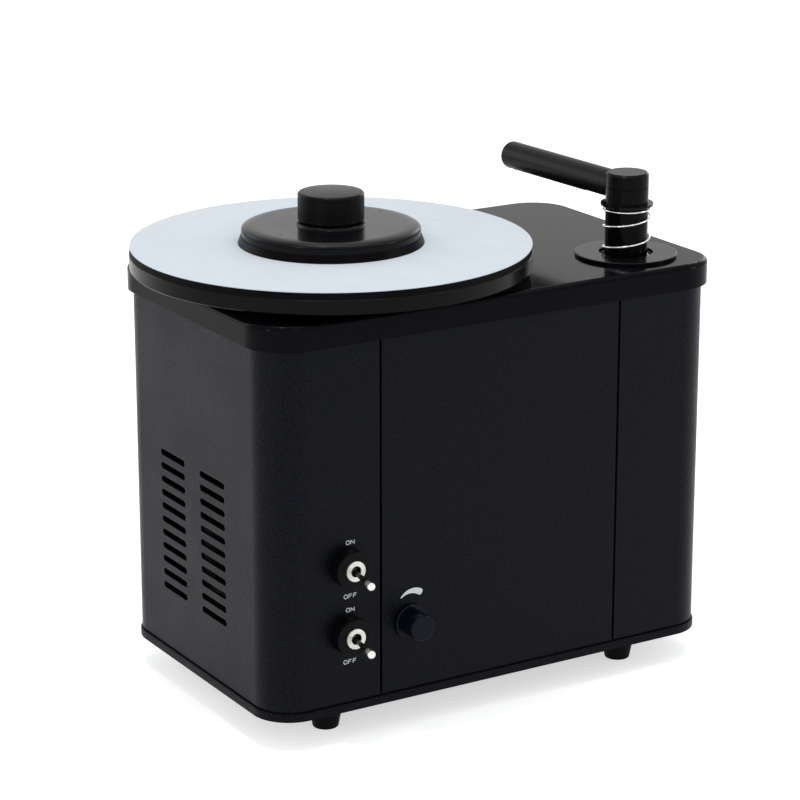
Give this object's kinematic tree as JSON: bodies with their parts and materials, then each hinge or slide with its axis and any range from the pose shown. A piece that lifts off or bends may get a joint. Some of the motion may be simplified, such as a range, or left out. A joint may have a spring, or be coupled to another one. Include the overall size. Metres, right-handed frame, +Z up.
{
  "type": "record cleaning machine",
  "caption": "Box-shaped vacuum record cleaner with an overhanging platter, record clamp, sprung swinging suction arm, toggle switches, speed knob and side vents.",
  "frame": {"origin": "centre of the base plate's underside; the feet hang 18.5 mm below it", "axes": "+Z up, +X to the machine's right, along its length, and +Y from its front to its back"},
  "size_m": [0.3394, 0.2433, 0.3088],
  "materials": {
    "shell_paint": "satin black powder coat with a fine texture",
    "base_paint": "satin black paint",
    "zinc_steel": "bright zinc plated",
    "gloss_black": "polished black",
    "black_anodised": "satin black anodised",
    "bare_aluminium": "fine turned",
    "steel": "ground",
    "chrome": "polished",
    "bronze": "sintered bronze",
    "brass": "turned brass",
    "rubber": "matt black rubber",
    "mat_foam": "black foam rubber",
    "mat_white": "matt pale blue-white sheet",
    "matt_black": "matt black moulding",
    "knob_blue_black": "dark blue-black moulding",
    "velvet": "short black pile",
    "tank_plastic": "natural polyethylene",
    "hose_rubber": "ribless hose",
    "board_green": "circuit board laminate",
    "laminated_iron": "varnished laminations"
  },
  "bodies": {
    "root": {"base_plate": "base_paint", "rubber_feet": "rubber", "corner_posts": "zinc_steel", "left_shell": "shell_paint", "right_shell": "shell_paint", "front_panel": "shell_paint", "rear_panel": "shell_paint", "seam_strips": "base_paint", "top_plate": "gloss_black", "machine_screws": "zinc_steel", "bearing_housing": "bare_aluminium", "bearing_bushes": "bronze", "gearbox": "zinc_steel", "gearmotor": "zinc_steel", "motor_bracket": "base_paint", "standoffs": "zinc_steel", "escutcheon": "gloss_black", "guide_sleeve": "bare_aluminium", "tank": "tank_plastic", "tank_lid": "tank_plastic", "lip_seal": "rubber", "drain_pipe": "brass", "vacuum_motor": "zinc_steel", "fan_housing": "matt_black", "fan_cover": "matt_black", "vacuum_bracket": "base_paint", "vacuum_mounts": "rubber", "vacuum_hose": "hose_rubber", "switch_bosses": "matt_black", "switch_bodies": "chrome", "panel_nuts": "chrome", "potentiometer": "steel", "control_board": "board_green", "transformer": "laminated_iron", "mains_inlet": "matt_black"},
    "platter": {"spindle": "steel", "platter": "black_anodised", "platter_screws": "zinc_steel", "mat_backing": "mat_foam", "mat_face": "mat_white", "shaft_coupling": "bare_aluminium"},
    "clamp": {"clamp_disc": "black_anodised", "clamp_seal": "rubber", "clamp_collet": "brass"},
    "clamp_knob": {"clamp_knob": "matt_black"},
    "swivel": {"swivel_bush": "bare_aluminium", "arm_spring": "chrome"},
    "arm": {"arm_post": "black_anodised", "retaining_ring": "steel", "spring_collar": "black_anodised", "arm_head": "matt_black", "head_cap": "matt_black", "arm_tube": "matt_black", "arm_end_cap": "matt_black", "velvet_strips": "velvet"},
    "turntable_lever": {"turntable_lever": "chrome"},
    "vacuum_lever": {"vacuum_lever": "chrome"},
    "speed_knob": {"speed_knob": "knob_blue_black"},
    "impeller": {"impeller": "bare_aluminium"},
    "drain_plug": {"drain_plug": "rubber"}
  },
  "joints": [
    {"name": "platter_spin", "type": "hinge", "parent": "root", "child": "platter", "pos_m": [-0.061, 0, 0.2575], "axis": [0, 0, 1], "continuous": true},
    {"name": "clamp_lift", "type": "slide", "parent": "platter", "child": "clamp", "axis": [0, 0, 1], "range_m": [0, 0.03]},
    {"name": "clamp_knob_turn", "type": "hinge", "parent": "clamp", "child": "clamp_knob", "pos_m": [-0.061, 0, 0.28], "axis": [0, 0, 1], "range_deg": [0, 120]},
    {"name": "arm_swing", "type": "hinge", "parent": "root", "child": "swivel", "pos_m": [0.1144, -0.0555, 0.2318], "axis": [0, 0, 1], "range_deg": [-20, 70]},
    {"name": "arm_drop", "type": "slide", "parent": "swivel", "child": "arm", "axis": [0, 0, -1], "range_m": [0, 0.012], "stiffness_N_per_m": 300, "springref_m": -0.012, "deforming": ["arm_spring"]},
    {"name": "turntable_lever_tilt", "type": "hinge", "parent": "root", "child": "turntable_lever", "pos_m": [-0.1058, -0.0995, 0.09], "axis": [-1, 0, 0], "range_deg": [0, 20]},
    {"name": "vacuum_lever_tilt", "type": "hinge", "parent": "root", "child": "vacuum_lever", "pos_m": [-0.1058, -0.0995, 0.0485], "axis": [-1, 0, 0], "range_deg": [0, 20]},
    {"name": "speed_knob_turn", "type": "hinge", "parent": "root", "child": "speed_knob", "pos_m": [-0.0637, -0.1, 0.0483], "axis": [0, 1, 0], "range_deg": [0, 270]},
    {"name": "impeller_spin", "type": "hinge", "parent": "root", "child": "impeller", "pos_m": [-0.096, 0.039, 0.07], "axis": [0, 0, 1], "continuous": true},
    {"name": "drain_plug_pull", "type": "slide", "parent": "root", "child": "drain_plug", "axis": [0, 1, 0], "range_m": [0, 0.015]}
  ]
}
